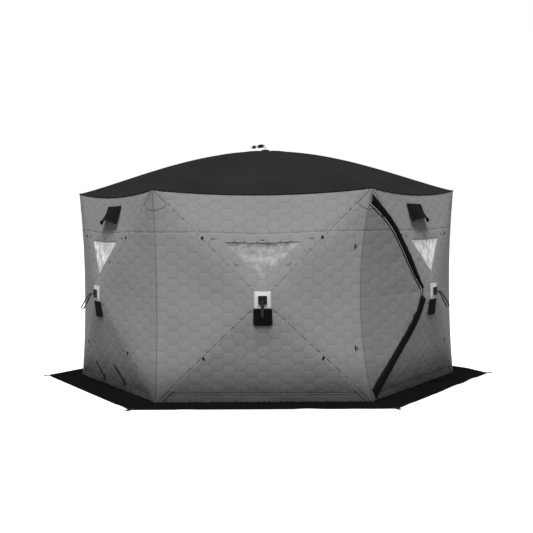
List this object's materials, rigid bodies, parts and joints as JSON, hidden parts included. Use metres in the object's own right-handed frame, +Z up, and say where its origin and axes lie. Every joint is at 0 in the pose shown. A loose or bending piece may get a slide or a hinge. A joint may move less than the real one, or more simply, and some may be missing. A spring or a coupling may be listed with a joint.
{
  "type": "ice fishing shelter",
  "caption": "Pop-up hub shelter for ice fishing: quilted cloth walls and roof pushed out by hubs and poles, with a zipped door, windows, vents and a ground skirt.",
  "frame": {"origin": "on the ice at the middle of the floor", "axes": "+Z up, +X along the longest corner-to-corner width, and the front wall faces -Y"},
  "size_m": [4.3728, 3.806, 2.2255],
  "materials": {
    "wall_cloth": "matt quilted thermal cloth",
    "roof_cloth": "matt quilted thermal cloth, near black",
    "black_cloth": "matt coated cloth",
    "patch_cloth": "light grey webbing and coated cloth",
    "clear_sheet": "soft clear vinyl",
    "mesh": "open mesh",
    "black_plastic": "moulded, slightly satin",
    "pole_glassfibre": "pultruded rod",
    "webbing": "woven strap",
    "zip_metal": "black painted die casting",
    "eyelet_metal": "nickel plated"
  },
  "bodies": {
    "root": {"roof_cover": "roof_cloth", "skirt": "black_cloth", "hub_patches": "patch_cloth", "front_wall": "wall_cloth", "front_right_wall": "wall_cloth", "back_right_wall": "wall_cloth", "back_wall": "wall_cloth", "back_left_wall": "wall_cloth", "front_left_wall": "wall_cloth", "corner_pockets": "webbing", "window_panes": "clear_sheet", "door_tiebacks": "black_plastic", "webbing_tabs": "webbing", "anchor_eyelets": "eyelet_metal"},
    "front_hub": {"front_hub": "black_plastic"},
    "front_top_left_pole": {"front_top_left_pole": "pole_glassfibre"},
    "front_top_right_pole": {"front_top_right_pole": "pole_glassfibre"},
    "front_bottom_left_pole": {"front_bottom_left_pole": "pole_glassfibre"},
    "front_bottom_right_pole": {"front_bottom_right_pole": "pole_glassfibre"},
    "front_right_hub": {"front_right_hub": "black_plastic"},
    "front_right_top_left_pole": {"front_right_top_left_pole": "pole_glassfibre"},
    "front_right_top_right_pole": {"front_right_top_right_pole": "pole_glassfibre"},
    "front_right_bottom_left_pole": {"front_right_bottom_left_pole": "pole_glassfibre"},
    "front_right_bottom_right_pole": {"front_right_bottom_right_pole": "pole_glassfibre"},
    "back_right_hub": {"back_right_hub": "black_plastic"},
    "back_right_top_left_pole": {"back_right_top_left_pole": "pole_glassfibre"},
    "back_right_top_right_pole": {"back_right_top_right_pole": "pole_glassfibre"},
    "back_right_bottom_left_pole": {"back_right_bottom_left_pole": "pole_glassfibre"},
    "back_right_bottom_right_pole": {"back_right_bottom_right_pole": "pole_glassfibre"},
    "back_hub": {"back_hub": "black_plastic"},
    "back_top_left_pole": {"back_top_left_pole": "pole_glassfibre"},
    "back_top_right_pole": {"back_top_right_pole": "pole_glassfibre"},
    "back_bottom_left_pole": {"back_bottom_left_pole": "pole_glassfibre"},
    "back_bottom_right_pole": {"back_bottom_right_pole": "pole_glassfibre"},
    "back_left_hub": {"back_left_hub": "black_plastic"},
    "back_left_top_left_pole": {"back_left_top_left_pole": "pole_glassfibre"},
    "back_left_top_right_pole": {"back_left_top_right_pole": "pole_glassfibre"},
    "back_left_bottom_left_pole": {"back_left_bottom_left_pole": "pole_glassfibre"},
    "back_left_bottom_right_pole": {"back_left_bottom_right_pole": "pole_glassfibre"},
    "front_left_hub": {"front_left_hub": "black_plastic"},
    "front_left_top_left_pole": {"front_left_top_left_pole": "pole_glassfibre"},
    "front_left_top_right_pole": {"front_left_top_right_pole": "pole_glassfibre"},
    "front_left_bottom_left_pole": {"front_left_bottom_left_pole": "pole_glassfibre"},
    "front_left_bottom_right_pole": {"front_left_bottom_right_pole": "pole_glassfibre"},
    "roof_hub": {"roof_hub": "black_plastic", "roof_pull_strap": "webbing"},
    "roof_right_pole": {"roof_right_pole": "pole_glassfibre"},
    "roof_back_right_pole": {"roof_back_right_pole": "pole_glassfibre"},
    "roof_back_left_pole": {"roof_back_left_pole": "pole_glassfibre"},
    "roof_left_pole": {"roof_left_pole": "pole_glassfibre"},
    "roof_front_left_pole": {"roof_front_left_pole": "pole_glassfibre"},
    "roof_front_right_pole": {"roof_front_right_pole": "pole_glassfibre"},
    "door_surround": {"door_zip_track": "black_cloth"},
    "door": {"door_panel": "wall_cloth"},
    "upper_zip_slider": {"upper_zip_slider": "zip_metal"},
    "lower_zip_slider": {"lower_zip_slider": "zip_metal"},
    "left_vent_mesh": {"left_vent_mesh": "mesh"},
    "left_vent_hood": {"left_vent_hood": "black_cloth"},
    "right_vent_mesh": {"right_vent_mesh": "mesh"},
    "right_vent_hood": {"right_vent_hood": "black_cloth"}
  },
  "joints": [
    {"name": "front_hub_push", "type": "slide", "parent": "root", "child": "front_hub", "axis": [0, -1, 0], "range_m": [-0.18, 0], "deforming": ["front_wall", "window_panes", "hub_patches", "door_tiebacks", "webbing_tabs"]},
    {"name": "front_top_left_pole_swing", "type": "hinge", "parent": "front_hub", "child": "front_top_left_pole", "pos_m": [-0.03182, -1.70385, 0.90182], "axis": [0.7071, 0, 0.7071], "range_deg": [0, 9.26]},
    {"name": "front_top_right_pole_swing", "type": "hinge", "parent": "front_hub", "child": "front_top_right_pole", "pos_m": [0.03182, -1.70385, 0.90182], "axis": [0.7071, 0, -0.7071], "range_deg": [0, 9.26]},
    {"name": "front_bottom_left_pole_swing", "type": "hinge", "parent": "front_hub", "child": "front_bottom_left_pole", "pos_m": [-0.03235, -1.70385, 0.83872], "axis": [-0.695, 0, 0.719], "range_deg": [0, 9.43]},
    {"name": "front_bottom_right_pole_swing", "type": "hinge", "parent": "front_hub", "child": "front_bottom_right_pole", "pos_m": [0.03235, -1.70385, 0.83872], "axis": [-0.695, 0, -0.719], "range_deg": [0, 9.43]},
    {"name": "front_right_hub_push", "type": "slide", "parent": "root", "child": "front_right_hub", "axis": [0.866, -0.5, 0], "range_m": [-0.18, 0], "deforming": ["front_right_wall"]},
    {"name": "front_right_top_left_pole_swing", "type": "hinge", "parent": "front_right_hub", "child": "front_right_top_left_pole", "pos_m": [1.45966, -0.87948, 0.90182], "axis": [0.3536, 0.6124, 0.7071], "range_deg": [0, 9.26]},
    {"name": "front_right_top_right_pole_swing", "type": "hinge", "parent": "front_right_hub", "child": "front_right_top_right_pole", "pos_m": [1.49148, -0.82437, 0.90182], "axis": [0.3536, 0.6124, -0.7071], "range_deg": [0, 9.26]},
    {"name": "front_right_bottom_left_pole_swing", "type": "hinge", "parent": "front_right_hub", "child": "front_right_bottom_left_pole", "pos_m": [1.4594, -0.87994, 0.83872], "axis": [-0.3475, -0.6019, 0.719], "range_deg": [0, 9.43]},
    {"name": "front_right_bottom_right_pole_swing", "type": "hinge", "parent": "front_right_hub", "child": "front_right_bottom_right_pole", "pos_m": [1.49175, -0.8239, 0.83872], "axis": [-0.3475, -0.6019, -0.719], "range_deg": [0, 9.43]},
    {"name": "back_right_hub_push", "type": "slide", "parent": "root", "child": "back_right_hub", "axis": [0.866, 0.5, 0], "range_m": [-0.18, 0], "deforming": ["back_right_wall"]},
    {"name": "back_right_top_left_pole_swing", "type": "hinge", "parent": "back_right_hub", "child": "back_right_top_left_pole", "pos_m": [1.49148, 0.82437, 0.90182], "axis": [-0.3536, 0.6124, 0.7071], "range_deg": [0, 9.26]},
    {"name": "back_right_top_right_pole_swing", "type": "hinge", "parent": "back_right_hub", "child": "back_right_top_right_pole", "pos_m": [1.45966, 0.87948, 0.90182], "axis": [-0.3536, 0.6124, -0.7071], "range_deg": [0, 9.26]},
    {"name": "back_right_bottom_left_pole_swing", "type": "hinge", "parent": "back_right_hub", "child": "back_right_bottom_left_pole", "pos_m": [1.49175, 0.8239, 0.83872], "axis": [0.3475, -0.6019, 0.719], "range_deg": [0, 9.43]},
    {"name": "back_right_bottom_right_pole_swing", "type": "hinge", "parent": "back_right_hub", "child": "back_right_bottom_right_pole", "pos_m": [1.4594, 0.87994, 0.83872], "axis": [0.3475, -0.6019, -0.719], "range_deg": [0, 9.43]},
    {"name": "back_hub_push", "type": "slide", "parent": "root", "child": "back_hub", "axis": [0, 1, 0], "range_m": [-0.18, 0], "deforming": ["back_wall"]},
    {"name": "back_top_left_pole_swing", "type": "hinge", "parent": "back_hub", "child": "back_top_left_pole", "pos_m": [0.03182, 1.70385, 0.90182], "axis": [-0.7071, 0, 0.7071], "range_deg": [0, 9.26]},
    {"name": "back_top_right_pole_swing", "type": "hinge", "parent": "back_hub", "child": "back_top_right_pole", "pos_m": [-0.03182, 1.70385, 0.90182], "axis": [-0.7071, 0, -0.7071], "range_deg": [0, 9.26]},
    {"name": "back_bottom_left_pole_swing", "type": "hinge", "parent": "back_hub", "child": "back_bottom_left_pole", "pos_m": [0.03235, 1.70385, 0.83872], "axis": [0.695, 0, 0.719], "range_deg": [0, 9.43]},
    {"name": "back_bottom_right_pole_swing", "type": "hinge", "parent": "back_hub", "child": "back_bottom_right_pole", "pos_m": [-0.03235, 1.70385, 0.83872], "axis": [0.695, 0, -0.719], "range_deg": [0, 9.43]},
    {"name": "back_left_hub_push", "type": "slide", "parent": "root", "child": "back_left_hub", "axis": [-0.866, 0.5, 0], "range_m": [-0.18, 0], "deforming": ["back_left_wall"]},
    {"name": "back_left_top_left_pole_swing", "type": "hinge", "parent": "back_left_hub", "child": "back_left_top_left_pole", "pos_m": [-1.45966, 0.87948, 0.90182], "axis": [-0.3536, -0.6124, 0.7071], "range_deg": [0, 9.26]},
    {"name": "back_left_top_right_pole_swing", "type": "hinge", "parent": "back_left_hub", "child": "back_left_top_right_pole", "pos_m": [-1.49148, 0.82437, 0.90182], "axis": [-0.3536, -0.6124, -0.7071], "range_deg": [0, 9.26]},
    {"name": "back_left_bottom_left_pole_swing", "type": "hinge", "parent": "back_left_hub", "child": "back_left_bottom_left_pole", "pos_m": [-1.4594, 0.87994, 0.83872], "axis": [0.3475, 0.6019, 0.719], "range_deg": [0, 9.43]},
    {"name": "back_left_bottom_right_pole_swing", "type": "hinge", "parent": "back_left_hub", "child": "back_left_bottom_right_pole", "pos_m": [-1.49175, 0.8239, 0.83872], "axis": [0.3475, 0.6019, -0.719], "range_deg": [0, 9.43]},
    {"name": "front_left_hub_push", "type": "slide", "parent": "root", "child": "front_left_hub", "axis": [-0.866, -0.5, 0], "range_m": [-0.18, 0], "deforming": ["front_left_wall"]},
    {"name": "front_left_top_left_pole_swing", "type": "hinge", "parent": "front_left_hub", "child": "front_left_top_left_pole", "pos_m": [-1.49148, -0.82437, 0.90182], "axis": [0.3536, -0.6124, 0.7071], "range_deg": [0, 9.26]},
    {"name": "front_left_top_right_pole_swing", "type": "hinge", "parent": "front_left_hub", "child": "front_left_top_right_pole", "pos_m": [-1.45966, -0.87948, 0.90182], "axis": [0.3536, -0.6124, -0.7071], "range_deg": [0, 9.26]},
    {"name": "front_left_bottom_left_pole_swing", "type": "hinge", "parent": "front_left_hub", "child": "front_left_bottom_left_pole", "pos_m": [-1.49175, -0.8239, 0.83872], "axis": [-0.3475, 0.6019, 0.719], "range_deg": [0, 9.43]},
    {"name": "front_left_bottom_right_pole_swing", "type": "hinge", "parent": "front_left_hub", "child": "front_left_bottom_right_pole", "pos_m": [-1.4594, -0.87994, 0.83872], "axis": [-0.3475, 0.6019, -0.719], "range_deg": [0, 9.43]},
    {"name": "roof_hub_drop", "type": "slide", "parent": "root", "child": "roof_hub", "axis": [0, 0, 1], "range_m": [-0.395, 0], "deforming": ["roof_cover"]},
    {"name": "roof_right_pole_swing", "type": "hinge", "parent": "roof_hub", "child": "roof_right_pole", "pos_m": [0.045, 0, 2.133], "axis": [0, -1, 0], "range_deg": [0, 13.54]},
    {"name": "roof_back_right_pole_swing", "type": "hinge", "parent": "roof_hub", "child": "roof_back_right_pole", "pos_m": [0.0225, 0.03897, 2.133], "axis": [0.866, -0.5, 0], "range_deg": [0, 13.54]},
    {"name": "roof_back_left_pole_swing", "type": "hinge", "parent": "roof_hub", "child": "roof_back_left_pole", "pos_m": [-0.0225, 0.03897, 2.133], "axis": [0.866, 0.5, 0], "range_deg": [0, 13.54]},
    {"name": "roof_left_pole_swing", "type": "hinge", "parent": "roof_hub", "child": "roof_left_pole", "pos_m": [-0.045, 0, 2.133], "axis": [0, 1, 0], "range_deg": [0, 13.54]},
    {"name": "roof_front_left_pole_swing", "type": "hinge", "parent": "roof_hub", "child": "roof_front_left_pole", "pos_m": [-0.0225, -0.03897, 2.133], "axis": [-0.866, 0.5, 0], "range_deg": [0, 13.54]},
    {"name": "roof_front_right_pole_swing", "type": "hinge", "parent": "roof_hub", "child": "roof_front_right_pole", "pos_m": [0.0225, -0.03897, 2.133], "axis": [-0.866, -0.5, 0], "range_deg": [0, 13.54]},
    {"name": "door_surround_fold", "type": "hinge", "parent": "root", "child": "door_surround", "pos_m": [0.9, -1.55885, 0.87], "axis": [0, 0, 1], "range_deg": [0, 11.61]},
    {"name": "door_swing", "type": "hinge", "parent": "door_surround", "child": "door", "pos_m": [0.9, -1.55885, 0.87], "axis": [0, 0, -1], "range_deg": [0, 200]},
    {"name": "upper_zip_slider_run", "type": "slide", "parent": "door_surround", "child": "upper_zip_slider", "axis": [0.4464, 0.508, -0.7367], "range_m": [0, 0.82]},
    {"name": "lower_zip_slider_run", "type": "slide", "parent": "door_surround", "child": "lower_zip_slider", "axis": [0.4791, 0.5452, 0.6879], "range_m": [0, 0.58]},
    {"name": "left_vent_mesh_fold", "type": "hinge", "parent": "root", "child": "left_vent_mesh", "pos_m": [-1.3, -0.86603, 1.77], "axis": [0.5, -0.866, 0], "range_deg": [0, 11.61]},
    {"name": "left_vent_hood_swing", "type": "hinge", "parent": "left_vent_mesh", "child": "left_vent_hood", "pos_m": [-1.31819, -0.87652, 1.68], "axis": [-0.5, 0.866, 0], "range_deg": [-28, 0]},
    {"name": "right_vent_mesh_fold", "type": "hinge", "parent": "root", "child": "right_vent_mesh", "pos_m": [1.3, -0.86603, 1.77], "axis": [0.5, 0.866, 0], "range_deg": [0, 11.61]},
    {"name": "right_vent_hood_swing", "type": "hinge", "parent": "right_vent_mesh", "child": "right_vent_hood", "pos_m": [1.31819, -0.87652, 1.68], "axis": [-0.5, -0.866, 0], "range_deg": [-28, 0]}
  ],
  "couplings": [
    {"joint": "front_top_left_pole_swing", "follows": "front_hub_push", "rad_per_m": -0.86927},
    {"joint": "front_top_right_pole_swing", "follows": "front_hub_push", "rad_per_m": -0.86927},
    {"joint": "front_bottom_left_pole_swing", "follows": "front_hub_push", "rad_per_m": -0.88536},
    {"joint": "front_bottom_right_pole_swing", "follows": "front_hub_push", "rad_per_m": -0.88536},
    {"joint": "front_right_top_left_pole_swing", "follows": "front_right_hub_push", "rad_per_m": -0.86927},
    {"joint": "front_right_top_right_pole_swing", "follows": "front_right_hub_push", "rad_per_m": -0.86927},
    {"joint": "front_right_bottom_left_pole_swing", "follows": "front_right_hub_push", "rad_per_m": -0.88536},
    {"joint": "front_right_bottom_right_pole_swing", "follows": "front_right_hub_push", "rad_per_m": -0.88536},
    {"joint": "back_right_top_left_pole_swing", "follows": "back_right_hub_push", "rad_per_m": -0.86927},
    {"joint": "back_right_top_right_pole_swing", "follows": "back_right_hub_push", "rad_per_m": -0.86927},
    {"joint": "back_right_bottom_left_pole_swing", "follows": "back_right_hub_push", "rad_per_m": -0.88536},
    {"joint": "back_right_bottom_right_pole_swing", "follows": "back_right_hub_push", "rad_per_m": -0.88536},
    {"joint": "back_top_left_pole_swing", "follows": "back_hub_push", "rad_per_m": -0.86927},
    {"joint": "back_top_right_pole_swing", "follows": "back_hub_push", "rad_per_m": -0.86927},
    {"joint": "back_bottom_left_pole_swing", "follows": "back_hub_push", "rad_per_m": -0.88536},
    {"joint": "back_bottom_right_pole_swing", "follows": "back_hub_push", "rad_per_m": -0.88536},
    {"joint": "back_left_top_left_pole_swing", "follows": "back_left_hub_push", "rad_per_m": -0.86927},
    {"joint": "back_left_top_right_pole_swing", "follows": "back_left_hub_push", "rad_per_m": -0.86927},
    {"joint": "back_left_bottom_left_pole_swing", "follows": "back_left_hub_push", "rad_per_m": -0.88536},
    {"joint": "back_left_bottom_right_pole_swing", "follows": "back_left_hub_push", "rad_per_m": -0.88536},
    {"joint": "front_left_top_left_pole_swing", "follows": "front_left_hub_push", "rad_per_m": -0.86927},
    {"joint": "front_left_top_right_pole_swing", "follows": "front_left_hub_push", "rad_per_m": -0.86927},
    {"joint": "front_left_bottom_left_pole_swing", "follows": "front_left_hub_push", "rad_per_m": -0.88536},
    {"joint": "front_left_bottom_right_pole_swing", "follows": "front_left_hub_push", "rad_per_m": -0.88536},
    {"joint": "roof_right_pole_swing", "follows": "roof_hub_drop", "rad_per_m": -0.58518},
    {"joint": "roof_back_right_pole_swing", "follows": "roof_hub_drop", "rad_per_m": -0.58518},
    {"joint": "roof_back_left_pole_swing", "follows": "roof_hub_drop", "rad_per_m": -0.58518},
    {"joint": "roof_left_pole_swing", "follows": "roof_hub_drop", "rad_per_m": -0.58518},
    {"joint": "roof_front_left_pole_swing", "follows": "roof_hub_drop", "rad_per_m": -0.58518},
    {"joint": "roof_front_right_pole_swing", "follows": "roof_hub_drop", "rad_per_m": -0.58518},
    {"joint": "door_surround_fold", "follows": "front_right_hub_push", "rad_per_m": -1.0966},
    {"joint": "left_vent_mesh_fold", "follows": "front_left_hub_push", "rad_per_m": -1.0966},
    {"joint": "right_vent_mesh_fold", "follows": "front_right_hub_push", "rad_per_m": -1.0966}
  ]
}
